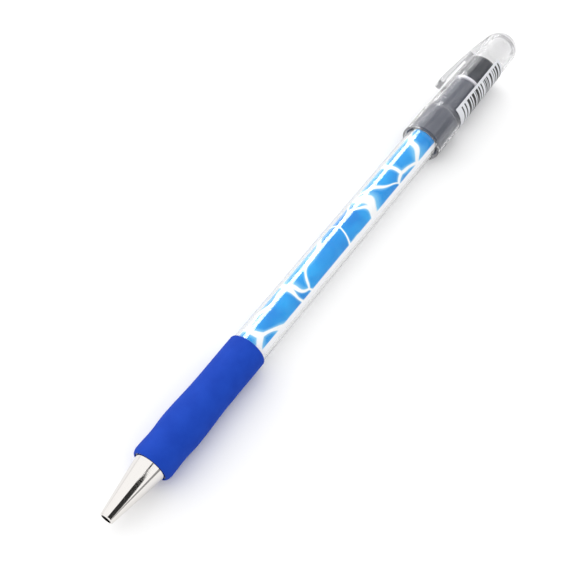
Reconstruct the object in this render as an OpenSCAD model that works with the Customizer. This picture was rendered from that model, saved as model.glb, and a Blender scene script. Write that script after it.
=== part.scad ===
// Clear-barrelled pen with a rubber grip, a metal nose cone and its cap posted on the rear.
// It lies on its side.
// The pen lies along X. The open end of the nose cone is at the origin and the domed end of the cap is at +X.
// +Z is up. All sizes are in millimetres.

/* [Barrel] */
// Outer diameter of the clear barrel
barrel_d = 9; // [8:0.1:11]
// Wall thickness of the clear barrel
barrel_wall = 0.75; // [0.65:0.05:1]
// Length of the barrel, front face to rear face
barrel_len = 123.7; // [100:0.1:150]
// Depth of the recess that carries the grip
recess_depth = 0.3; // [0.1:0.05:0.35]

/* [Nose cone] */
// Length of the cone ahead of the barrel
cone_len = 14.9; // [11:0.1:20]
// Outer diameter of the open end
tip_d = 3.3; // [3.2:0.1:4.4]
// Bevel around the open end
tip_bevel = 0.15; // [0.1:0.05:0.25]
// How far the cone's base stands out over the barrel's bore
cone_lip = 0.15; // [0.1:0.05:0.3]
// Diameter of the hole in the open end
tip_bore_d = 2.5; // [1.6:0.1:2.6]
// Length of the straight hole in the open end
tip_bore_len = 3; // [2:0.1:5]
// Length of the spigot that sits in the barrel
spigot_len = 8; // [5:0.1:12]
// Wall thickness of the spigot
spigot_wall = 0.9; // [0.6:0.05:1.2]

/* [Grip] */
// How far the grip reaches ahead of the barrel's front face
grip_lead = 0.2; // [0.1:0.05:0.8]
// Length of the grip
grip_len = 36.2; // [28:0.1:45]
// Height of the front rim over the barrel
grip_front_h = 0.54; // [0.5:0.02:0.7]
// Height of the shallow neck behind the front rim
grip_neck_h = 0.44; // [0.4:0.02:0.6]
// Height of the swell
grip_swell_h = 0.68; // [0.6:0.02:0.9]
// Height of the long waist
grip_waist_h = 0.36; // [0.3:0.02:0.5]
// Height at the rear edge
grip_rear_h = 0.42; // [0.36:0.02:0.6]
// Length of the rounded front edge
grip_bevel = 1.6; // [1:0.1:2.4]
// Flat rim left at the front of the grip's bore
grip_rim = 0.12; // [0.05:0.01:0.2]
// Radius of the rounded rear edge
grip_round = 0.45; // [0.2:0.05:0.6]

/* [Insert] */
// Thickness of the rolled sheet
sheet_t = 0.2; // [0.15:0.05:0.3]
// Width of the seam where the sheet's edges meet
seam_w = 0.5; // [0.3:0.1:1.5]

/* [Tail plug] */
// Length of the plug inside the barrel
plug_len = 8; // [5:0.1:12]
// Thickness of the plug's head
plug_head_t = 0.8; // [0.6:0.1:1.4]

/* [Cap] */
// Length of the cap, mouth to domed end
cap_len = 48.9; // [45:0.1:58]
// How far the barrel sits inside the cap
post_depth = 9.3; // [7:0.1:12]
// Wall thickness of the wide mouth section
mouth_wall = 0.56; // [0.5:0.02:0.9]
// Rounding of the mouth's outer edge
mouth_round = 0.3; // [0.15:0.05:0.4]
// Length of the shoulder between mouth section and body
shoulder_len = 1.8; // [1.4:0.1:2.6]
// How much smaller the body's radius is than the mouth section's
shoulder_drop = 0.25; // [0.15:0.05:0.4]
// How much the body's radius shrinks from the shoulder to the dome
body_taper = 0.5; // [0.2:0.05:0.6]
// Wall thickness of the body, taken at the dome
body_wall = 0.55; // [0.45:0.05:0.7]
// Diameter of the moulding mark on the domed end
mark_d = 1.3; // [0.8:0.1:2]
// Depth of the moulding mark
mark_depth = 0.3; // [0.2:0.05:0.5]

/* [Cap clip] */
// Length of the clip, free end to the domed end of the cap
clip_len = 29.6; // [25:0.1:31.5]
// Width of the clip
clip_w = 4.4; // [3.4:0.1:5.4]
// Height of the clip's outer face over the shoulder at the free end
clip_rise = 2.15; // [1.9:0.05:2.6]
// Gap between clip and body at the free end
clip_gap = 0.9; // [0.7:0.05:1]
// Length of the rounded free end
clip_nose = 1.8; // [1:0.1:2.5]
// Slot radius where the clip joins the body
slot_r = 0.25; // [0.2:0.05:0.35]
// How far the bead at the free end stands in
bead_in = 0.4; // [0.2:0.05:0.5]
// Angle of the clip from straight up, counter-clockwise as seen from the nose
clip_roll = 70; // [0:1:90]

/* [Liner] */
// How far the liner sits behind the cap's mouth
liner_set = 1.1; // [0.2:0.1:2]
// Wall thickness of the liner around the barrel
liner_wall = 0.4; // [0.3:0.05:0.6]
// Thickness of the step between wide and narrow part
step_t = 0.6; // [0.5:0.1:1]
// Outer diameter of the narrow part of the liner
neck_d = 7.8; // [6.2:0.1:8]
// Wall thickness of the narrow part
neck_wall = 0.5; // [0.4:0.05:0.9]
// Length of the narrow part
neck_len = 13.2; // [10:0.1:14]

/* [Seal ring and cup] */
// Thickness of the pale ring between the liner and the cup
ring_t = 0.9; // [0.5:0.1:1.5]
// Length of the cup at the blind end of the cap
cup_len = 9.1; // [7:0.1:10]
// Wall thickness of the ring and the cup
cup_wall = 0.9; // [0.6:0.05:1.2]
// Thickness of the cup's closed end
cup_end = 1.2; // [0.8:0.1:2]

/* [Label] */
// Length of the label along the cap
label_len = 24; // [18:0.1:25]
// Thickness of the label
label_t = 0.1; // [0.08:0.01:0.15]
// Angle of the label's upper edge from straight up, clockwise as seen from the nose
label_start = 37; // [0:1:60]
// Angle that the label wraps around the cap
label_wrap = 112; // [80:1:150]
// Gap from the shoulder to the label
label_gap = 0.2; // [0.1:0.1:1]

/* [Fits] */
// Radial clearance of the cap's liner on the barrel
post_clear = 0.06; // [0.04:0.01:0.1]
// Radial clearance of spigot, plug and insert in the bore
bore_clear = 0.04; // [0.03:0.01:0.08]
// Radial clearance of pieces seated in or on each other
seat_clear = 0.03; // [0.02:0.01:0.05]
// Gap between the ends of pieces that meet end to end
end_gap = 0.15; // [0.1:0.05:0.3]

/* [Hidden] */

// Facets around full turns, points along outlines, and points around small roundings
turn_fn = 96;
curve_steps = 40;
round_steps = 8;

// How far cutters run past what they cut
cut = 1;

// Barrel
barrel_r = barrel_d / 2;
bore_r = barrel_r - barrel_wall;
recess_r = barrel_r - recess_depth;
barrel_x = cone_len;
barrel_end = barrel_x + barrel_len;
rear_bevel = barrel_wall / 3;

// Nose cone
tip_r = tip_d / 2;
tip_bore_r = tip_bore_d / 2;
cone_base_r = bore_r + cone_lip;
cone_end = cone_len - end_gap;
spigot_r = bore_r - bore_clear;
spigot_end = cone_len + spigot_len;

// Grip
grip_x = barrel_x - grip_lead;
grip_end = grip_x + grip_len;
grip_bore_r = recess_r + seat_clear;
neck_at = 0.13;
swell_at = 0.27;
waist_at = 0.62;

// Tail plug
plug_r = bore_r - bore_clear;
plug_x = barrel_end - plug_len;
head_x = barrel_end + seat_clear;
head_end = head_x + plug_head_t;
head_r = barrel_r - rear_bevel / 2;

// Insert
insert_r = bore_r - bore_clear;
insert_x = spigot_end + end_gap;
insert_end = plug_x - end_gap;

// Liner
cap_x = barrel_end - post_depth;
liner_bore_r = barrel_r + post_clear;
liner_r = liner_bore_r + liner_wall;
liner_x = cap_x + liner_set;
step_x = head_end + end_gap;
neck_x = step_x + step_t;
neck_end = neck_x + neck_len;
neck_r = neck_d / 2;

// Cap shell
cap_end = cap_x + cap_len;
mouth_bore_r = liner_r + seat_clear;
mouth_bore_end = neck_x + end_gap;
mouth_r = mouth_bore_r + mouth_wall;
shoulder_x = mouth_bore_end - shoulder_len / 3;
body_x = shoulder_x + shoulder_len;
body_r = mouth_r - shoulder_drop;
dome_r = body_r - body_taper;
dome_x = cap_end - dome_r;
body_bore_r = dome_r - body_wall;

// Seal ring and cup
ring_x = neck_end + end_gap;
ring_end = ring_x + ring_t;
cup_x = ring_end + seat_clear;
cup_stop = cup_x + cup_len;
cup_r = body_bore_r - seat_clear;
cup_bore_r = cup_r - cup_wall;

// Clip, measured along the cap from its free end
clip_x = cap_end - clip_len;
clip_run = clip_len - dome_r + body_wall;
clip_slope = 0.078;
clip_root_r = dome_r - 0.6 * body_wall;
clip_drop = body_r + clip_rise - clip_slope * clip_run - clip_root_r;
slot_end = 0.6 * clip_run;

// Label
label_x = body_x + label_gap;
label_r = body_at(label_x) + seat_clear;
label_end_r = body_at(label_x + label_len) + seat_clear;

// Turn an outline of [radius, x] points about the pen's axis
module turned(outline) {
  rotate([0, 90, 0])
    rotate_extrude($fn = turn_fn)
      polygon(outline);
}

// Smooth step from 0 to 1
function ease(u) = (1 - cos(180 * u)) / 2;

// Height of the grip between two stations along it
function between(u, u0, u1, h0, h1) = h0 + (h1 - h0) * ease((u - u0) / (u1 - u0));

// Outer radius of the grip at a share of its length
function grip_r(u) = barrel_r
  + (u < neck_at ? between(u, 0, neck_at, grip_front_h, grip_neck_h)
  : u < swell_at ? between(u, neck_at, swell_at, grip_neck_h, grip_swell_h)
  : u < waist_at ? between(u, swell_at, waist_at, grip_swell_h, grip_waist_h)
  : between(u, waist_at, 1, grip_waist_h, grip_rear_h));

// Outer radius of the cap's body at a station along the pen
function body_at(x) = body_r - body_taper * (x - body_x) / (dome_x - body_x);

// Height of the clip's outer face over the cap's axis, from its free end
function clip_outer(x) = body_r + clip_rise - clip_slope * x - clip_drop * pow(x / clip_run, 4);

// Height of the clip's inner face over the cap's axis, from its free end
function clip_inner(x) = body_at(clip_x + x) + clip_gap - (clip_gap - 2 * slot_r) * x / slot_end;

module nose_cone() {
  inner_r = spigot_r - spigot_wall;
  color([0.78, 0.76, 0.74])
    turned([
      [tip_bore_r, 0],
      [tip_r - tip_bevel, 0],
      [tip_r, tip_bevel],
      [cone_base_r, cone_end],
      [spigot_r, cone_end],
      [spigot_r, spigot_end],
      [inner_r, spigot_end],
      [inner_r, cone_len],
      [tip_bore_r, tip_bore_len]
    ]);
}

module barrel() {
  color([0.86, 0.9, 0.95, 0.4])
    turned([
      [bore_r, barrel_x],
      [recess_r, barrel_x],
      [recess_r, grip_end],
      [barrel_r, grip_end],
      [barrel_r, barrel_end - rear_bevel],
      [barrel_r - rear_bevel, barrel_end],
      [bore_r, barrel_end]
    ]);
}

module grip() {
  front = grip_x + grip_bevel;
  rear = grip_end - seat_clear;
  run = rear - grip_round - front;
  rim_r = grip_bore_r + grip_rim;
  nose = [for (i = [0:round_steps])
    let (a = 90 * i / (round_steps + 1))
    [rim_r + (grip_r(0) - rim_r) * sin(a), grip_x + grip_bevel * (1 - cos(a))]];
  side = [for (i = [0:curve_steps]) [grip_r(i / curve_steps), front + run * i / curve_steps]];
  tail = [for (i = [1:round_steps])
    let (a = 90 * i / round_steps)
    [grip_r(1) - grip_round * (1 - cos(a)), rear - grip_round * (1 - sin(a))]];
  color([0.1, 0.2, 0.72])
    turned(concat([[grip_bore_r, rear], [grip_bore_r, grip_x]], nose, side, tail));
}

module insert() {
  color([0.3, 0.65, 0.92])
    difference() {
      turned([
        [insert_r - sheet_t, insert_x],
        [insert_r, insert_x],
        [insert_r, insert_end],
        [insert_r - sheet_t, insert_end]
      ]);
      translate([insert_x - cut, -seam_w / 2, -barrel_r])
        cube([insert_end - insert_x + 2 * cut, seam_w, barrel_r]);
    }
}

module tail_plug() {
  inner_r = plug_r - spigot_wall;
  floor_x = barrel_end - plug_head_t;
  color([0.22, 0.24, 0.27])
    turned([
      [0, head_end],
      [0, floor_x],
      [inner_r, floor_x],
      [inner_r, plug_x],
      [plug_r, plug_x],
      [plug_r, head_x],
      [head_r, head_x],
      [head_r, head_end - rear_bevel],
      [head_r - rear_bevel, head_end]
    ]);
}

module clip_side() {
  nose_h = clip_inner(0) + bead_in;
  nose = [for (i = [0:round_steps])
    let (a = 90 * i / (round_steps + 1))
    [clip_nose * (1 - cos(a)), nose_h + (clip_outer(clip_nose) - nose_h) * sin(a)]];
  top = [for (i = [0:curve_steps])
    let (x = clip_nose + (clip_run - clip_nose) * i / curve_steps)
    [x, clip_outer(x)]];
  difference() {
    polygon(concat([[0, 0]], nose, top, [[clip_run, 0]]));
    polygon([[-cut, 0], [-cut, clip_inner(-cut)], [slot_end, clip_inner(slot_end)], [slot_end, 0]]);
    translate([slot_end, body_at(clip_x + slot_end) + slot_r])
      circle(slot_r, $fn = turn_fn / 3);
  }
}

module clip() {
  half_w = clip_w / 2;
  bead_x = clip_nose * 0.8;
  tall = body_r + clip_rise + cut;
  translate([clip_x, 0, 0]) {
    intersection() {
      translate([0, clip_w, 0])
        rotate([90, 0, 0])
          linear_extrude(2 * clip_w)
            clip_side();
      union() {
        translate([half_w, 0, 0])
          cylinder(h = tall, r = half_w, $fn = turn_fn);
        translate([half_w, -half_w, 0])
          cube([clip_run, clip_w, tall]);
      }
    }
    translate([bead_x, half_w / 2, clip_inner(bead_x) + bead_in])
      rotate([90, 0, 0])
        cylinder(h = half_w, r = 2 * bead_in, $fn = turn_fn / 3);
  }
}

module cap_outside() {
  mouth_edge = [for (i = [0:round_steps])
    let (a = 90 * i / round_steps)
    [mouth_r - mouth_round * (1 - sin(a)), cap_x + mouth_round * (1 - cos(a))]];
  shoulder = [for (i = [0:round_steps])
    let (u = i / round_steps)
    [mouth_r - shoulder_drop * ease(u), shoulder_x + shoulder_len * u]];
  turned(concat([[0, cap_x]], mouth_edge, shoulder, [[dome_r, dome_x], [0, dome_x]]));
  translate([dome_x, 0, 0])
    sphere(r = dome_r, $fn = turn_fn);
  rotate([-clip_roll, 0, 0])
    clip();
}

module cap_shell() {
  color([0.9, 0.91, 0.95, 0.4])
    difference() {
      cap_outside();
      turned([
        [0, cap_x - cut],
        [mouth_bore_r, cap_x - cut],
        [mouth_bore_r, mouth_bore_end],
        [body_bore_r, mouth_bore_end],
        [body_bore_r, cup_stop + seat_clear],
        [0, cup_stop + seat_clear]
      ]);
      translate([cap_end - mark_depth, 0, 0])
        rotate([0, 90, 0])
          cylinder(h = cut, d = mark_d, $fn = turn_fn / 3);
    }
}

module cap_liner() {
  color([0.4, 0.42, 0.46])
    turned([
      [liner_bore_r, liner_x],
      [liner_r, liner_x],
      [liner_r, neck_x],
      [neck_r, neck_x],
      [neck_r, neck_end],
      [neck_r - neck_wall, neck_end],
      [neck_r - neck_wall, step_x],
      [liner_bore_r, step_x]
    ]);
}

module seal_ring() {
  color([0.86, 0.86, 0.9])
    turned([
      [cup_bore_r, ring_x],
      [cup_r, ring_x],
      [cup_r, ring_end],
      [cup_bore_r, ring_end]
    ]);
}

module seal_cup() {
  color([0.1, 0.11, 0.13])
    turned([
      [0, cup_stop],
      [0, cup_stop - cup_end],
      [cup_bore_r, cup_stop - cup_end],
      [cup_bore_r, cup_x],
      [cup_r, cup_x],
      [cup_r, cup_stop]
    ]);
}

module label() {
  color([0.95, 0.95, 0.97])
    translate([label_x, 0, 0])
      rotate([0, 90, 0])
        rotate([0, 0, 180 + label_start])
          rotate_extrude(angle = label_wrap, $fn = turn_fn)
            polygon([
              [label_r, 0],
              [label_r + label_t, 0],
              [label_end_r + label_t, label_len],
              [label_end_r, label_len]
            ]);
}

nose_cone();
barrel();
grip();
insert();
tail_plug();
cap_shell();
cap_liner();
seal_ring();
seal_cup();
label();
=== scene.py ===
import math
import random

import bmesh
import bpy
from mathutils import Matrix, Vector


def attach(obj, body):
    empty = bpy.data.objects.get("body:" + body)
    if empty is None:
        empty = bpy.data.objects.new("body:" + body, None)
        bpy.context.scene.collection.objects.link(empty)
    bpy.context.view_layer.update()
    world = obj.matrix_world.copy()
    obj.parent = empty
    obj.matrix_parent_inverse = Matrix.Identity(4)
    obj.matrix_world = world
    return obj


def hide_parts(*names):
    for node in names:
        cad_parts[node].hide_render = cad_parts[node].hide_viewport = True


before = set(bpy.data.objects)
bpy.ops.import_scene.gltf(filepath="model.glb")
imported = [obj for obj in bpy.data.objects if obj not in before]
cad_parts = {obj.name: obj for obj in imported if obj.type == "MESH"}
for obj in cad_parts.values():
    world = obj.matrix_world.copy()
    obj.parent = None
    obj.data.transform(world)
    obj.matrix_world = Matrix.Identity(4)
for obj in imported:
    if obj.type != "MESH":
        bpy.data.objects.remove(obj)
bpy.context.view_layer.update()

# Sizes of the pen in millimetres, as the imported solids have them
MM = 0.001
FIT_R = 3.71
FIT_BORE_R = 2.81

TIP_BORE_R = 1.25
TIP_BORE_END = 3
TIP_FACE_R = 1.5
TIP_EDGE_X = 0.15
TIP_EDGE_R = 1.65
CONE_END = 14.75
CONE_END_R = 3.9
CONE_BORE_END = 14.9
SPIGOT_END = 22.9

BARREL_R = 4.5
BORE_R = 3.75
RECESS_R = 4.2
BARREL_X = 14.9
BARREL_END = 138.6
BARREL_BEVEL = 0.25

GRIP_X = 14.7
GRIP_END = 50.87
GRIP_BORE_R = 4.23
GRIP_RIM_R = 4.35
GRIP_BEVEL = 1.6
GRIP_ROUND = 0.45
GRIP_ROOM = 0.03
# Share of the grip's length, and how far it stands above the barrel there
GRIP_SWELL = ((0, 0.54), (0.13, 0.44), (0.27, 0.68), (0.62, 0.36), (1, 0.42))

INSERT_X = 23.05
INSERT_END = 130.45
INSERT_R = 3.71
SHEET_T = 0.2
SEAM_W = 0.5
# Around the insert, the print's V is the arc from straight up, growing toward the +Y side
PRINT_LOW = math.radians(-62) * INSERT_R
PRINT_HIGH = math.radians(140) * INSERT_R
PRINT_EDGE = 0.12

PLUG_X = 130.6
PLUG_FLOOR_X = 137.8
PLUG_SEAT_X = 138.63
PLUG_END = 139.43
PLUG_HEAD_R = 4.375

CAP_X = 129.3
CAP_END = 178.2
MOUTH_R = 5.55
MOUTH_ROUND = 0.3
MOUTH_BORE_R = 4.99
MOUTH_BORE_END = 140.33
MOUTH_BEVEL = 0.12
SHOULDER_X = 139.73
SHOULDER_LEN = 1.8
BODY_X = SHOULDER_X + SHOULDER_LEN
BODY_R = 5.3
DOME_R = 4.8
DOME_X = CAP_END - DOME_R
BODY_BORE_R = 4.25
LEDGE_X = 163.59
END_BORE_R = 4.0
END_X = 175.0
END_ROUND = 0.6
MARK_R = 0.65
MARK_DEPTH = 0.3

CLIP_ROLL = math.radians(70)
CLIP_X = 148.6
CLIP_RUN = 25.35
CLIP_HALF_W = 2.2
CLIP_NOSE = 1.8
CLIP_LIFT = 2.15
CLIP_SLOPE = 0.078
CLIP_SINK = 0.33
CLIP_ROOT_LOW = 4.35
CLIP_TOP_ROUND = 0.5
CLIP_BASE_ROUND = 0.2
ARM_X = 2.3
ARM_STEP = 0.4
ARM_STATIONS = 33
SLOT_END = 0.6 * CLIP_RUN
SLOT_R = 0.25
SLOT_MOUTH = 0.9
BEAD_IN = 0.4
BEAD_X = 0.8 * CLIP_NOSE
BEAD_R = 2 * BEAD_IN

LINER_X = 130.4
LINER_R = 4.96
LINER_BORE_R = 4.56
LINER_BORE_END = 139.58
LINER_STEP_X = 140.18
NECK_R = 3.9
NECK_BORE_R = 3.4
NECK_END = 153.38

SEAL_R = 4.22
SEAL_BORE_R = 3.32
RING_X = 153.53
RING_END = 154.43
CUP_X = 154.46
CUP_FLOOR_X = 162.36
CUP_END = 163.56

LABEL_X = 141.73
LABEL_LEN = 24.0
LABEL_TOP = math.radians(-37)
LABEL_WRAP = math.radians(112)
LABEL_ROOM = 0.03
LABEL_T = 0.1
LABEL_ROWS = 56
BAR_ROWS = range(4, 52)
BAR_SEED = 11
BAR_UNIT = 0.26
BAR_WIDTHS = (1, 1, 1, 2, 2, 3, 4)
BARS_START = 2.1
BARS_STOP = 1.2

# Facets around a turn, a support point's distance from a rounding, and the sharpest smooth edge
TURN = 192
FINE_TURN = 256
SUPPORT = 0.04
SMOOTH_DEG = 32


# Mesh helpers

def at(x, r, phi):
    """A point in metres: x along the pen, r off its axis, phi from straight up toward +Y."""
    return Vector((x * MM, r * math.sin(phi) * MM, r * math.cos(phi) * MM))


def ease(u):
    return (1 - math.cos(math.pi * u)) / 2


def quarter(steps):
    """Angles from 0 to a right angle in equal steps."""
    return [math.pi / 2 * i / steps for i in range(steps + 1)]


def fillet(outline, radii, steps=5):
    """Rounds the corners of a closed outline by the radii, one for each corner.

    A point close to each end of a rounding keeps smooth shading off the straight runs.
    """
    longest = 0.45
    out = []
    n = len(outline)
    for i, radius in enumerate(radii):
        p = Vector(outline[i])
        a = Vector(outline[i - 1]) - p
        b = Vector(outline[(i + 1) % n]) - p
        if radius <= 0:
            out.append(tuple(p))
            continue
        reach = min(radius, longest * a.length, longest * b.length)
        start = p + a.normalized() * reach
        end = p + b.normalized() * reach
        out.append(tuple(start + a.normalized() * min(SUPPORT, SUPPORT * a.length)))
        for k in range(steps + 1):
            s = k / steps
            out.append(tuple(start * (1 - s) ** 2 + p * 2 * s * (1 - s) + end * s ** 2))
        out.append(tuple(end + b.normalized() * min(SUPPORT, SUPPORT * b.length)))
    return out


def finish_mesh(name, bm, materials):
    """Turns a bmesh into a linked object with outward normals, smooth but for its sharp edges."""
    bmesh.ops.remove_doubles(bm, verts=bm.verts, dist=1e-7)
    bmesh.ops.recalc_face_normals(bm, faces=bm.faces)
    mesh = bpy.data.meshes.new(name)
    bm.to_mesh(mesh)
    bm.free()
    mesh.polygons.foreach_set("use_smooth", [True] * len(mesh.polygons))
    mesh.set_sharp_from_angle(angle=math.radians(SMOOTH_DEG))
    for m in materials:
        mesh.materials.append(m)
    obj = bpy.data.objects.new(name, mesh)
    bpy.context.scene.collection.objects.link(obj)
    return obj


def lathe(name, outline, material, turn=TURN):
    """A closed outline of (x, r) points in millimetres, turned about the X axis."""
    bm = bmesh.new()
    rings = []
    for x, r in outline:
        count = turn if r > 0 else 1
        rings.append([bm.verts.new(at(x, r, 2 * math.pi * k / turn)) for k in range(count)])
    for i in range(len(rings)):
        a, b = rings[i - 1], rings[i]
        if len(a) == 1 and len(b) == 1:
            continue
        for k in range(turn):
            m = (k + 1) % turn
            if len(a) == 1:
                bm.faces.new((a[0], b[k], b[m]))
            elif len(b) == 1:
                bm.faces.new((a[k], b[0], a[m]))
            else:
                bm.faces.new((a[k], b[k], b[m], a[m]))
    return finish_mesh(name, bm, [material])


# Material helpers

def node(tree, kind, **values):
    n = tree.nodes.new(kind)
    for key, value in values.items():
        setattr(n, key, value)
    return n


def feed(tree, socket, value):
    """Sets a socket to a number, or links it to another node's output."""
    if isinstance(value, (int, float)):
        socket.default_value = value
    else:
        tree.links.new(value, socket)


def principled(name, **sockets):
    """A material whose constant values sit on the shader's own sockets."""
    mat = bpy.data.materials.new(name)
    mat.use_nodes = True
    shader = mat.node_tree.nodes["Principled BSDF"]
    for key, value in sockets.items():
        shader.inputs[key.replace("_", " ")].default_value = value
    return mat, mat.node_tree, shader


def millimetres(tree, scale=(1, 1, 1)):
    """Object coordinates in millimetres, stretched by scale."""
    coord = node(tree, "ShaderNodeTexCoord")
    mult = node(tree, "ShaderNodeVectorMath", operation="MULTIPLY")
    mult.inputs[1].default_value = [1000 * s for s in scale]
    tree.links.new(coord.outputs["Object"], mult.inputs[0])
    return mult.outputs[0]


def noise(tree, vector, scale, detail=3.0, rough=0.5, distortion=0.0):
    n = node(tree, "ShaderNodeTexNoise")
    n.inputs["Scale"].default_value = scale
    n.inputs["Detail"].default_value = detail
    n.inputs["Roughness"].default_value = rough
    n.inputs["Distortion"].default_value = distortion
    tree.links.new(vector, n.inputs["Vector"])
    return n.outputs["Fac"]


def remap(tree, value, low, high, to_low, to_high, smooth=False):
    n = node(tree, "ShaderNodeMapRange")
    n.interpolation_type = "SMOOTHSTEP" if smooth else "LINEAR"
    ends = {"From Min": low, "From Max": high, "To Min": to_low, "To Max": to_high}
    for key, number in ends.items():
        n.inputs[key].default_value = number
    tree.links.new(value, n.inputs["Value"])
    return n.outputs["Result"]


def spread(tree, fac, to_low, to_high):
    """Stretches the usual range of a noise to the given one."""
    return remap(tree, fac, 0.3, 0.7, to_low, to_high)


def math_node(tree, operation, a, b):
    n = node(tree, "ShaderNodeMath", operation=operation)
    feed(tree, n.inputs[0], a)
    feed(tree, n.inputs[1], b)
    return n.outputs[0]


def blend(tree, fac, a, b):
    """The number a where fac is 0, and b where it is 1."""
    n = node(tree, "ShaderNodeMix", data_type="FLOAT")
    feed(tree, n.inputs[0], fac)
    feed(tree, n.inputs[2], a)
    feed(tree, n.inputs[3], b)
    return n.outputs[0]


def mix_colour(tree, fac, a, b):
    n = node(tree, "ShaderNodeMix", data_type="RGBA")
    tree.links.new(fac, n.inputs["Factor"])
    for socket, value in zip([s for s in n.inputs if s.type == "RGBA"], (a, b)):
        if isinstance(value, tuple):
            socket.default_value = (*value, 1)
        else:
            tree.links.new(value, socket)
    return [s for s in n.outputs if s.type == "RGBA"][0]


def bump(tree, shader, height, strength, distance_mm):
    n = node(tree, "ShaderNodeBump")
    n.inputs["Strength"].default_value = strength
    n.inputs["Distance"].default_value = distance_mm * MM
    tree.links.new(height, n.inputs["Height"])
    tree.links.new(n.outputs["Normal"], shader.inputs["Normal"])


# Materials

def plated_metal():
    mat, tree, shader = principled("plated_metal", Metallic=1.0, Base_Color=(0.93, 0.90, 0.87, 1))
    grain = noise(tree, millimetres(tree, (6, 0.6, 0.6)), 1.0, 4.0)
    tree.links.new(spread(tree, grain, 0.03, 0.07), shader.inputs["Roughness"])
    bump(tree, shader, grain, 0.03, 0.005)
    return mat


def clear_plastic(name, tint, density, opacity):
    mat, tree, shader = principled(
        name, Base_Color=(1, 1, 1, 1), IOR=1.5, Transmission_Weight=1.0, Alpha=opacity)
    flow = noise(tree, millimetres(tree, (0.25, 1, 1)), 0.6, 2.0)
    tree.links.new(spread(tree, flow, 0.0, 0.012), shader.inputs["Roughness"])
    bump(tree, shader, flow, 0.05, 0.01)
    absorb = node(tree, "ShaderNodeVolumeAbsorption")
    absorb.inputs["Color"].default_value = (*tint, 1)
    absorb.inputs["Density"].default_value = density
    out = [n for n in tree.nodes if n.type == "OUTPUT_MATERIAL"][0]
    tree.links.new(absorb.outputs[0], out.inputs["Volume"])
    return mat


def blue_rubber():
    mat, tree, shader = principled("blue_rubber", Specular_IOR_Level=0.12)
    pos = millimetres(tree)
    cloud = spread(tree, noise(tree, pos, 0.25), 0, 1)
    colour = mix_colour(tree, cloud, (0.008, 0.053, 0.43), (0.011, 0.064, 0.48))
    tree.links.new(colour, shader.inputs["Base Color"])
    grain = noise(tree, pos, 7.0, 3.0, 0.6)
    tree.links.new(spread(tree, grain, 0.7, 0.85), shader.inputs["Roughness"])
    bump(tree, shader, grain, 0.3, 0.03)
    return mat


def vein_distance(tree, uv):
    """How far a place is from the nearest vein. The veins are borders of slanted, bent cells."""
    stretch = node(tree, "ShaderNodeMapping")
    stretch.inputs["Rotation"].default_value = (0, 0, math.radians(-24))
    stretch.inputs["Scale"].default_value = (0.085, 0.12, 1)
    tree.links.new(uv, stretch.inputs[0])
    bend = node(tree, "ShaderNodeTexNoise")
    bend.inputs["Scale"].default_value = 0.9
    bend.inputs["Detail"].default_value = 1.0
    tree.links.new(stretch.outputs[0], bend.inputs["Vector"])
    push = node(tree, "ShaderNodeVectorMath", operation="MULTIPLY_ADD")
    push.inputs[1].default_value = (0.9, 0.9, 0)
    tree.links.new(bend.outputs["Color"], push.inputs[0])
    tree.links.new(stretch.outputs[0], push.inputs[2])
    cells = node(tree, "ShaderNodeTexVoronoi", feature="DISTANCE_TO_EDGE")
    cells.inputs["Scale"].default_value = 1.0
    tree.links.new(push.outputs[0], cells.inputs["Vector"])
    # Some veins are broad and some are thin
    breadth = remap(tree, noise(tree, uv, 0.07, 1.0), 0.4, 0.6, 0.3, 1.0)
    return math_node(tree, "DIVIDE", cells.outputs["Distance"], breadth)


def printed_paper():
    """White paper with pale veins on blue. U runs along the pen and V around it, in millimetres."""
    mat, tree, shader = principled("printed_paper", Roughness=0.6, Specular_IOR_Level=0.05)
    uv = node(tree, "ShaderNodeUVMap", uv_map="print").outputs[0]
    cloud = remap(tree, noise(tree, uv, 0.11, 3.0, 0.5, 0.6), 0.35, 0.65, 0, 1)
    field = mix_colour(tree, cloud, (0.006, 0.24, 0.72), (0.016, 0.38, 0.88))
    reach = vein_distance(tree, uv)
    glow = remap(tree, reach, 0.0, 0.2, 0.7, 0, True)
    line = remap(tree, reach, 0.05, 0.085, 1, 0, True)
    glowing = mix_colour(tree, glow, field, (0.42, 0.88, 1.0))
    veined = mix_colour(tree, line, glowing, (0.98, 0.99, 1.0))
    # The printed field ends in a straight edge
    split = node(tree, "ShaderNodeSeparateXYZ")
    tree.links.new(uv, split.inputs[0])
    across = split.outputs["Y"]
    inside = math_node(tree, "MULTIPLY",
                       remap(tree, across, PRINT_LOW, PRINT_LOW + PRINT_EDGE, 0, 1),
                       remap(tree, across, PRINT_HIGH, PRINT_HIGH + PRINT_EDGE, 1, 0))
    colour = mix_colour(tree, inside, (0.95, 0.96, 0.98), veined)
    tree.links.new(colour, shader.inputs["Base Color"])
    bump(tree, shader, noise(tree, millimetres(tree), 9.0), 0.05, 0.02)
    return mat


def moulded(name, colour_a, colour_b, roughness, grain_scale, bump_mm, gloss=0.5):
    """A plain surface, cloudy between two colours, with a fine grain."""
    mat, tree, shader = principled(name, Specular_IOR_Level=gloss)
    pos = millimetres(tree)
    cloud = spread(tree, noise(tree, pos, 0.4), 0, 1)
    tree.links.new(mix_colour(tree, cloud, colour_a, colour_b), shader.inputs["Base Color"])
    grain = noise(tree, pos, grain_scale, 3.0, 0.6)
    tree.links.new(spread(tree, grain, *roughness), shader.inputs["Roughness"])
    bump(tree, shader, grain, 0.2, bump_mm)
    return mat


METAL = plated_metal()
CLEAR_BARREL = clear_plastic("clear_barrel", (0.5, 0.52, 0.6), 12, 1.0)
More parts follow.
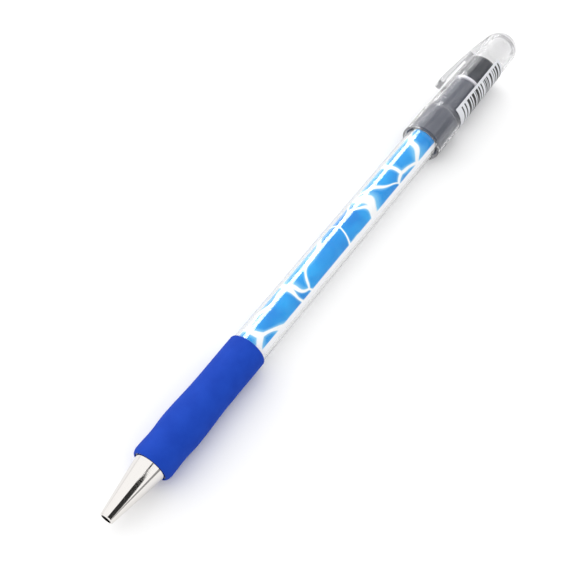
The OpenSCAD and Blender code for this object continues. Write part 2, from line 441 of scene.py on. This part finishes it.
# Light caught in the thick parts of the cap gets out, because it is not quite opaque to it
CLEAR_CAP = clear_plastic("clear_cap", (0.45, 0.42, 0.62), 16, 0.85)
RUBBER = blue_rubber()
PAPER = printed_paper()
PLUG = moulded("plug_plastic", (0.045, 0.05, 0.06), (0.055, 0.06, 0.07), (0.35, 0.5), 5.0, 0.02)
GREY = moulded("grey_plastic", (0.103, 0.111, 0.138), (0.117, 0.125, 0.155), (0.5, 0.65), 5.0, 0.02,
               gloss=0.1)
# The pale ring's colour is a painted highlight: it stands in for the bright ring of light between
# the liner's neck and the seal cup
PALE_PAINTED_HIGHLIGHT = moulded("pale_plastic", (0.80, 0.79, 0.85), (0.84, 0.83, 0.89), (0.4, 0.5), 5.0, 0.01,
               gloss=0.2)
DARK = moulded("dark_plastic", (0.026, 0.029, 0.038), (0.035, 0.039, 0.05), (0.12, 0.22), 3.0, 0.01)
STICKER = moulded("label_paper", (0.74, 0.75, 0.79), (0.78, 0.79, 0.83), (0.45, 0.6), 8.0, 0.01)
INK = moulded("label_ink", (0.012, 0.012, 0.014), (0.018, 0.018, 0.02), (0.4, 0.5), 8.0, 0.01)


# Pieces of the pen

def make_cone():
    outline = [(0, TIP_BORE_R), (0, TIP_FACE_R), (TIP_EDGE_X, TIP_EDGE_R), (CONE_END, CONE_END_R),
               (CONE_END, FIT_R), (SPIGOT_END, FIT_R), (SPIGOT_END, FIT_BORE_R),
               (CONE_BORE_END, FIT_BORE_R), (TIP_BORE_END, TIP_BORE_R)]
    radii = [0.05, 0.06, 0.08, 0.1, 0.05, 0.2, 0.1, 0, 0]
    return lathe("nose_cone_shell", fillet(outline, radii), METAL)


def make_barrel():
    recess_end = GRIP_END + GRIP_ROOM
    outline = [(BARREL_X, BORE_R), (BARREL_X, RECESS_R),
               (recess_end, RECESS_R), (recess_end, BARREL_R),
               (BARREL_END - BARREL_BEVEL, BARREL_R), (BARREL_END, BARREL_R - BARREL_BEVEL),
               (BARREL_END, BORE_R)]
    radii = [0.05, 0.05, 0.03, 0.1, 0.15, 0.15, 0.05]
    return lathe("barrel_tube", fillet(outline, radii), CLEAR_BARREL, FINE_TURN)


def grip_radius(u):
    for (u0, h0), (u1, h1) in zip(GRIP_SWELL, GRIP_SWELL[1:]):
        if u <= u1:
            return BARREL_R + h0 + (h1 - h0) * ease((u - u0) / (u1 - u0))
    return BARREL_R + GRIP_SWELL[-1][1]


def make_grip():
    steps, nose_steps, tail_steps = 96, 13, 8
    rise = grip_radius(0) - GRIP_RIM_R
    nose = [(GRIP_X + GRIP_BEVEL * (1 - math.cos(a)), GRIP_RIM_R + rise * math.sin(a))
            for a in quarter(nose_steps)[:-1]]
    front = GRIP_X + GRIP_BEVEL
    run = GRIP_END - GRIP_ROUND - front
    side = [(front + run * i / steps, grip_radius(i / steps)) for i in range(steps + 1)]
    tail = [(GRIP_END - GRIP_ROUND * (1 - math.sin(a)),
             grip_radius(1) - GRIP_ROUND * (1 - math.cos(a)))
            for a in quarter(tail_steps)[1:]]
    bore = [(GRIP_END, GRIP_BORE_R), (GRIP_X, GRIP_BORE_R)]
    return lathe("grip_sleeve", bore + nose + side + tail, RUBBER)


def make_insert():
    """A rolled sheet with a seam underneath, and the print's coordinates on it."""
    bm = bmesh.new()
    uv = bm.loops.layers.uv.new("print")
    gap = SEAM_W / 2 / INSERT_R
    turn, runs = 160, 48

    def grid(r):
        rows = []
        for i in range(runs + 1):
            x = INSERT_X + (INSERT_END - INSERT_X) * i / runs
            row = []
            for k in range(turn + 1):
                phi = -math.pi + gap + (2 * math.pi - 2 * gap) * k / turn
                row.append((bm.verts.new(at(x, r, phi)), x, phi * INSERT_R))
            rows.append(row)
        return rows

    def quad(corners):
        face = bm.faces.new([c[0] for c in corners])
        for loop, c in zip(face.loops, corners):
            loop[uv].uv = (c[1], c[2])

    outer, inner = grid(INSERT_R), grid(INSERT_R - SHEET_T)
    for i in range(runs):
        for k in range(turn):
            quad((outer[i][k], outer[i + 1][k], outer[i + 1][k + 1], outer[i][k + 1]))
            quad((inner[i][k], inner[i][k + 1], inner[i + 1][k + 1], inner[i + 1][k]))
        quad((outer[i][0], inner[i][0], inner[i + 1][0], outer[i + 1][0]))
        quad((outer[i][turn], outer[i + 1][turn], inner[i + 1][turn], inner[i][turn]))
    for k in range(turn):
        quad((outer[0][k], outer[0][k + 1], inner[0][k + 1], inner[0][k]))
        quad((outer[runs][k], inner[runs][k], inner[runs][k + 1], outer[runs][k + 1]))
    return finish_mesh("insert_sheet", bm, [PAPER])


def make_plug():
    outline = [(PLUG_END, 0), (PLUG_FLOOR_X, 0), (PLUG_FLOOR_X, FIT_BORE_R), (PLUG_X, FIT_BORE_R),
               (PLUG_X, FIT_R), (PLUG_SEAT_X, FIT_R),
               (PLUG_SEAT_X, PLUG_HEAD_R), (PLUG_END, PLUG_HEAD_R)]
    radii = [0, 0, 0.15, 0.1, 0.1, 0.05, 0.08, 0.25]
    return lathe("tail_plug_body", fillet(outline, radii), PLUG)


def make_liner():
    outline = [(LINER_X, LINER_BORE_R), (LINER_X, LINER_R),
               (LINER_STEP_X, LINER_R), (LINER_STEP_X, NECK_R),
               (NECK_END, NECK_R), (NECK_END, NECK_BORE_R),
               (LINER_BORE_END, NECK_BORE_R), (LINER_BORE_END, LINER_BORE_R)]
    radii = [0.08, 0.12, 0.15, 0.1, 0.12, 0.08, 0.05, 0.05]
    return lathe("cap_liner_tube", fillet(outline, radii), GREY)


# A ring in the gap between the liner's neck and the seal cup, whose pale colour paints the bright
# ring of light seen there
def make_highlight_ring():
    outline = [(RING_X, SEAL_BORE_R), (RING_X, SEAL_R), (RING_END, SEAL_R), (RING_END, SEAL_BORE_R)]
    return lathe("seal_ring_painted_highlight", fillet(outline, [0.1, 0.15, 0.15, 0.1]), PALE_PAINTED_HIGHLIGHT)


def make_cup():
    outline = [(CUP_END, 0), (CUP_FLOOR_X, 0), (CUP_FLOOR_X, SEAL_BORE_R), (CUP_X, SEAL_BORE_R),
               (CUP_X, SEAL_R), (CUP_END, SEAL_R)]
    radii = [0, 0, 0.2, 0.12, 0.15, 0.25]
    return lathe("seal_cup_body", fillet(outline, radii), DARK)


def body_at(x):
    """Radius of the cap's tapering body."""
    return BODY_R - (BODY_R - DOME_R) * (x - BODY_X) / (DOME_X - BODY_X)


def clip_outer(x):
    drop = BODY_R + CLIP_LIFT - CLIP_SLOPE * CLIP_RUN - (DOME_R - CLIP_SINK)
    return BODY_R + CLIP_LIFT - CLIP_SLOPE * x - drop * (x / CLIP_RUN) ** 4


def clip_inner(x):
    return body_at(CLIP_X + x) + SLOT_MOUTH - (SLOT_MOUTH - 2 * SLOT_R) * x / SLOT_END


def clip_section(x):
    """Lowest and highest point and half width of the clip at a station from its free end."""
    nose_h = clip_inner(0) + BEAD_IN
    high = clip_outer(x)
    if x < CLIP_NOSE:
        high = nose_h + (clip_outer(CLIP_NOSE) - nose_h) * math.sqrt(1 - (1 - x / CLIP_NOSE) ** 2)
    past = x - SLOT_END
    if past < 0:
        low = clip_inner(x)
        if abs(x - BEAD_X) < BEAD_R:
            bead = math.sqrt(BEAD_R ** 2 - (x - BEAD_X) ** 2)
            low = min(low, clip_inner(BEAD_X) + BEAD_IN - bead)
    elif past < SLOT_R:
        low = body_at(CLIP_X + SLOT_END) + SLOT_R + math.sqrt(SLOT_R ** 2 - past ** 2)
    else:
        low = CLIP_ROOT_LOW
    wide = CLIP_HALF_W
    if x < CLIP_HALF_W:
        wide = math.sqrt(CLIP_HALF_W ** 2 - (CLIP_HALF_W - x) ** 2)
    return low, high, wide


def clip_stations():
    """Stations from the free end: the rounded tip, the free arm, the slot's end and the root."""
    root_x = SLOT_END + SLOT_R
    root_steps = 24
    tip = [CLIP_HALF_W * (1 - math.cos(math.radians(a))) for a in range(4, 91, 4)]
    arm = [ARM_X + ARM_STEP * i for i in range(ARM_STATIONS)]
    slot = [SLOT_END + SLOT_R * math.sin(math.radians(a)) for a in range(0, 90, 15)]
    root = [root_x + 0.001] + [root_x + (CLIP_RUN - SLOT_END - SLOT_R) * i / root_steps
                               for i in range(1, root_steps + 1)]
    return sorted(set(tip + arm + slot + root))


def make_clip():
    """The clip as a loft of rounded sections, still apart from the cap."""
    bm = bmesh.new()
    rings = []
    for x in clip_stations():
        low, high, wide = clip_section(x)
        top_r = min(CLIP_TOP_ROUND, 0.45 * (high - low), 0.6 * wide)
        base_r = min(CLIP_BASE_ROUND, 0.3 * (high - low), 0.4 * wide)
        corners = [(wide, low), (wide, high), (-wide, high), (-wide, low)]
        ring = []
        for y, z in fillet(corners, [base_r, top_r, top_r, base_r], 6):
            spot = Vector((CLIP_X + x, y * math.cos(CLIP_ROLL) + z * math.sin(CLIP_ROLL),
                           z * math.cos(CLIP_ROLL) - y * math.sin(CLIP_ROLL)))
            ring.append(bm.verts.new(spot * MM))
        rings.append(ring)
    n = len(rings[0])
    for a, b in zip(rings, rings[1:]):
        for k in range(n):
            bm.faces.new((a[k], b[k], b[(k + 1) % n], a[(k + 1) % n]))
    bm.faces.new(rings[0])
    bm.faces.new(list(reversed(rings[-1])))
    return finish_mesh("clip_blank", bm, [])


def cap_outline():
    """The cap without its clip, from the hollow end through the mouth and back over the dome."""
    outline = [(END_X, 0), (END_X, END_BORE_R - END_ROUND - SUPPORT)]
    outline += [(END_X - END_ROUND * (1 - math.cos(a)), END_BORE_R - END_ROUND * (1 - math.sin(a)))
                for a in quarter(12)]
    outline += [(END_X - END_ROUND - SUPPORT, END_BORE_R),
                (LEDGE_X, END_BORE_R), (LEDGE_X, BODY_BORE_R),
                (MOUTH_BORE_END, BODY_BORE_R), (MOUTH_BORE_END, MOUTH_BORE_R),
                (CAP_X + MOUTH_BEVEL, MOUTH_BORE_R), (CAP_X, MOUTH_BORE_R + MOUTH_BEVEL)]
    outline += [(CAP_X + MOUTH_ROUND * (1 - math.cos(a)), MOUTH_R - MOUTH_ROUND * (1 - math.sin(a)))
                for a in quarter(8)]
    outline += [(CAP_X + MOUTH_ROUND + SUPPORT, MOUTH_R), (SHOULDER_X - SUPPORT, MOUTH_R)]
    shoulder_steps, dome_steps = 24, 40
    for i in range(shoulder_steps + 1):
        u = i / shoulder_steps
        outline.append((SHOULDER_X + SHOULDER_LEN * u, MOUTH_R - (MOUTH_R - BODY_R) * ease(u)))
    outline += [(x, body_at(x)) for x in (BODY_X + SUPPORT, DOME_X - SUPPORT)]
    last = math.acos(MARK_R / DOME_R)
    for i in range(dome_steps + 1):
        a = last * i / dome_steps
        outline.append((DOME_X + DOME_R * math.sin(a), DOME_R * math.cos(a)))
    floor_x = CAP_END - MARK_DEPTH
    return outline + [(floor_x + 0.08, MARK_R - 0.03), (floor_x, MARK_R - 0.12), (floor_x, 0)]


def make_cap():
    body = lathe("cap_body_blank", cap_outline(), CLEAR_CAP, FINE_TURN)
    clip = make_clip()
    join = body.modifiers.new("join", "BOOLEAN")
    join.operation = "UNION"
    join.solver = "EXACT"
    join.object = clip
    bpy.context.view_layer.update()
    graph = bpy.context.evaluated_depsgraph_get()
    mesh = bpy.data.meshes.new_from_object(body.evaluated_get(graph), depsgraph=graph)
    bpy.data.objects.remove(body)
    bpy.data.objects.remove(clip)
    bm = bmesh.new()
    bm.from_mesh(mesh)
    bpy.data.meshes.remove(mesh)
    return finish_mesh("cap_shell_clear", bm, [CLEAR_CAP])


def label_bars():
    """Cuts along the label, and whether each length between them is inked. The bars are made up."""
    draw = random.Random(BAR_SEED)
    cuts, inked = [LABEL_X, LABEL_X + BARS_START], [False]
    black = True
    while cuts[-1] < LABEL_X + LABEL_LEN - BARS_STOP:
        cuts.append(cuts[-1] + BAR_UNIT * draw.choice(BAR_WIDTHS))
        inked.append(black)
        black = not black
    return cuts + [LABEL_X + LABEL_LEN], inked + [False]


def make_label():
    """The sticker, with its bars as faces of their own in black."""
    cuts, inked = label_bars()
    rows = LABEL_ROWS
    bm = bmesh.new()

    def ring(x, lift):
        r = body_at(x) + LABEL_ROOM + lift
        return [bm.verts.new(at(x, r, LABEL_TOP - LABEL_WRAP * k / rows)) for k in range(rows + 1)]

    top = [ring(x, LABEL_T) for x in cuts]
    base = [ring(x, 0) for x in cuts]
    for i in range(len(cuts) - 1):
        for k in range(rows):
            face = bm.faces.new((top[i][k], top[i + 1][k], top[i + 1][k + 1], top[i][k + 1]))
            face.material_index = 1 if inked[i] and k in BAR_ROWS else 0
            bm.faces.new((base[i][k], base[i][k + 1], base[i + 1][k + 1], base[i + 1][k]))
        bm.faces.new((top[i][0], base[i][0], base[i + 1][0], top[i + 1][0]))
        bm.faces.new((top[i][rows], top[i + 1][rows], base[i + 1][rows], base[i][rows]))
    for k in range(rows):
        bm.faces.new((top[0][k], top[0][k + 1], base[0][k + 1], base[0][k]))
        bm.faces.new((top[-1][k], base[-1][k], base[-1][k + 1], top[-1][k + 1]))
    return finish_mesh("label_sticker", bm, [STICKER, INK])


PIECES = [
    (make_cone, "nose", "nose_cone", "plated_metal"),
    (make_barrel, "body", "barrel", "clear_barrel"),
    (make_grip, "body", "grip", "blue_rubber"),
    (make_insert, "body", "insert", "printed_paper"),
    (make_plug, "body", "tail_plug", "plug_plastic"),
    (make_cap, "cap", "cap_shell", "clear_cap"),
    (make_liner, "cap", "cap_liner", "grey_plastic"),
    # The pale seal ring's colour is a painted highlight in the gap between liner neck and seal cup
    (make_highlight_ring, "cap", "seal_ring", "pale_plastic"),
    (make_cup, "cap", "seal_cup", "dark_plastic"),
    (make_label, "cap", "label", "label_paper"),
]
CLEAR_NODES = ("barrel", "cap_shell")
for make, body, cad_node, slot in PIECES:
    piece = make()
    if cad_node in CLEAR_NODES:
        # Light passes clear plastic to the pieces inside and to the floor
        piece.visible_diffuse = False
        piece.visible_shadow = False
    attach(piece, body)
    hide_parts(cad_node)


# Stage: floor, light and camera

FILL = 1.0
LEAN = 0.5
LEAN_TO = (0.2, 0.7, 0.5)
FLOOR_X = 100
FLOOR_Z = -MOUTH_R
FLOOR_HALF_M = 3
FLOOR_LIT = 0.8
FLOOR_SEEN = 0.95
FLOOR_MIRRORED = 0.8
CARD_R = 420.0
CARD_STEPS = 24

# Cards arched over the pen: the name, the brightness in reflections and through clear plastic,
# and stations of x in millimetres with the card's two edges there in degrees
CARDS = [
    ("cone_card", 0.03, 0.9, [(-60, -14, -84), (-28, -18, -80), (-18, -16, -74), (-12, -15, -62),
                              (-8, -24, -56), (-4.5, -27, -53)]),
    ("cone_line", 0.1, 0.9, [(-5, -17, -28), (6, -18, -26)]),
    ("right_line", 0.3, 0.9, [(-60, -86, -92), (-20, -80, -92), (-8, -76, -90), (20, -73, -90),
                              (60, -73, -90)]),
    ("left_line", 0.82, 0.9, [(-60, 76, 90), (60, 76, 90)]),
    ("side_line", 0.2, 0.9, [(-260, -70, -85), (-64, -70, -85)]),
    ("far_line", 0.2, 0.9, [(-260, 70, 84), (-64, 70, 84)]),
    ("top_line", 0.1, 0.9, [(-260, -12, -38), (-64, -12, -38)]),
    ("overhead", 0.08, 0.85, [(215, 26, -86), (650, 26, -86)]),
    ("barrel_edge", 3, 0.85, [(215, 66, 94), (465, 66, 94)]),
    ("cap_streak", 5, 1, [(545, 60, 78), (551, 38, 58), (556, 27, 41)]),
]

# The camera fitted to the photograph
CAMERA_AT = (-0.04788, -0.07958, 0.21069)
CAMERA_DOWN = math.radians(55.491)
CAMERA_TURN = math.radians(34.948)
FOCAL_PX = 1050
PICTURE_PX = 570
SENSOR_MM = 36


def light_path(tree):
    """The Light Path node, and 1 for rays that no matt surface has scattered."""
    path = node(tree, "ShaderNodeLightPath")
    return path, math_node(tree, "LESS_THAN", path.outputs["Diffuse Depth"], 0.5)


def seen_white(tree):
    """1 for rays that show the background itself, 0 for those that light a matt surface."""
    path, direct = light_path(tree)
    shown = math_node(tree, "MAXIMUM", path.outputs["Is Camera Ray"], path.outputs["Is Glossy Ray"])
    shown = math_node(tree, "MAXIMUM", shown, path.outputs["Is Transmission Ray"])
    return math_node(tree, "MULTIPLY", shown, direct)


def shader_tree(name, kind):
    """A material made of one shader and its output."""
    mat = bpy.data.materials.new(name)
    mat.use_nodes = True
    tree = mat.node_tree
    tree.nodes.clear()
    shader = node(tree, kind)
    tree.links.new(shader.outputs[0], node(tree, "ShaderNodeOutputMaterial").inputs["Surface"])
    return mat, tree, shader


def make_floor():
    """A pale floor that lights the pen as pale paper does, and shows white around its shadow."""
    mat, tree, shader = shader_tree("floor_white", "ShaderNodeBsdfDiffuse")
    path = node(tree, "ShaderNodeLightPath")
    shown = remap(tree, path.outputs["Is Glossy Ray"], 0, 1, FLOOR_SEEN, FLOOR_MIRRORED)
    tree.links.new(blend(tree, seen_white(tree), FLOOR_LIT, shown), shader.inputs["Color"])
    bm = bmesh.new()
    bmesh.ops.create_grid(bm, x_segments=8, y_segments=8, size=FLOOR_HALF_M)
    bmesh.ops.translate(bm, verts=bm.verts, vec=(FLOOR_X * MM, 0, FLOOR_Z * MM))
    floor = finish_mesh("floor", bm, [mat])


def make_world():
    world = bpy.data.worlds.new("studio")
    bpy.context.scene.world = world
    world.use_nodes = True
    tree = world.node_tree
    tree.nodes.clear()
    out = node(tree, "ShaderNodeOutputWorld")
    fill = node(tree, "ShaderNodeBackground")
    fill.inputs["Color"].default_value = (1, 1, 1, 1)
    # The light leans to the upper left of the pen
    coord = node(tree, "ShaderNodeTexCoord")
    lean = node(tree, "ShaderNodeVectorMath", operation="DOT_PRODUCT")
    tree.links.new(coord.outputs["Generated"], lean.inputs[0])
    lean.inputs[1].default_value = Vector(LEAN_TO).normalized()
    level = remap(tree, lean.outputs["Value"], -1, 1, FILL * (1 - LEAN), FILL * (1 + LEAN))
    tree.links.new(level, fill.inputs["Strength"])
    shown = node(tree, "ShaderNodeBackground")
    shown.inputs["Color"].default_value = (1, 1, 1, 1)
    shown.inputs["Strength"].default_value = 1.0
    mix = node(tree, "ShaderNodeMixShader")
    tree.links.new(seen_white(tree), mix.inputs[0])
    tree.links.new(fill.outputs[0], mix.inputs[1])
    tree.links.new(shown.outputs[0], mix.inputs[2])
    tree.links.new(mix.outputs[0], out.inputs[0])


def strip_light(name, x_from, x_to, phi_from, phi_to, radiance):
    """A soft strip beside the pen that shows only as a gleam on polished surfaces."""
    lamp = bpy.data.lights.new(name, "AREA")
    lamp.shape = "RECTANGLE"
    lamp.size = (x_to - x_from) * MM
    lamp.size_y = 2 * CARD_R * MM * math.tan(math.radians(phi_to - phi_from) / 2)
    lamp.energy = radiance * math.pi * lamp.size * lamp.size_y
    obj = bpy.data.objects.new(name, lamp)
    bpy.context.scene.collection.objects.link(obj)
    middle = math.radians((phi_from + phi_to) / 2)
    across = Vector((0, math.cos(middle), -math.sin(middle)))
    away = Vector((0, math.sin(middle), math.cos(middle)))
    turn = Matrix((Vector((1, 0, 0)), across, away)).transposed()
    spot = at((x_from + x_to) / 2, CARD_R, middle)
    obj.matrix_world = Matrix.Translation(spot) @ turn.to_4x4()
    obj.visible_camera = False
    obj.visible_diffuse = False


def make_card(name, strength, through, stations):
    """A dark or bright card that shows only in polished and clear surfaces."""
    mat, tree, shader = shader_tree(name, "ShaderNodeEmission")
    path, direct = light_path(tree)
    shown = remap(tree, path.outputs["Is Transmission Ray"], 0, 1, strength, through)
    tree.links.new(blend(tree, direct, FILL, shown), shader.inputs["Strength"])
    mat.cycles.emission_sampling = "NONE"
    bm = bmesh.new()
    rows = []
    for x, phi_from, phi_to in stations:
        angles = [phi_from + (phi_to - phi_from) * k / CARD_STEPS for k in range(CARD_STEPS + 1)]
        rows.append([bm.verts.new(at(x, CARD_R, math.radians(phi))) for phi in angles])
    for a, b in zip(rows, rows[1:]):
        for k in range(CARD_STEPS):
            bm.faces.new((a[k], b[k], b[k + 1], a[k + 1]))
    card = finish_mesh(name, bm, [mat])
    card.visible_camera = False
    card.visible_diffuse = False
    card.visible_shadow = False


def make_camera():
    """The photograph's camera, which looks down on the pen from beside its nose."""
    ahead = Vector((math.cos(CAMERA_DOWN) * math.cos(CAMERA_TURN),
                    math.cos(CAMERA_DOWN) * math.sin(CAMERA_TURN), -math.sin(CAMERA_DOWN)))
    right = Vector((math.sin(CAMERA_TURN), -math.cos(CAMERA_TURN), 0))
    up = right.cross(ahead)
    data = bpy.data.cameras.new("camera")
    data.sensor_width = SENSOR_MM
    data.lens = SENSOR_MM * FOCAL_PX / PICTURE_PX
    data.clip_start = 0.01
    cam = bpy.data.objects.new("camera", data)
    bpy.context.scene.collection.objects.link(cam)
    turn = Matrix((right, up, -ahead)).transposed().to_4x4()
    cam.matrix_world = Matrix.Translation(CAMERA_AT) @ turn
    bpy.context.scene.camera = cam


make_floor()
make_world()
strip_light("gleam", 225, 465, 35, 59, 11)
for name, strength, through, stations in CARDS:
    make_card(name, strength, through, stations)
make_camera()
bpy.context.scene.view_settings.view_transform = "Standard"
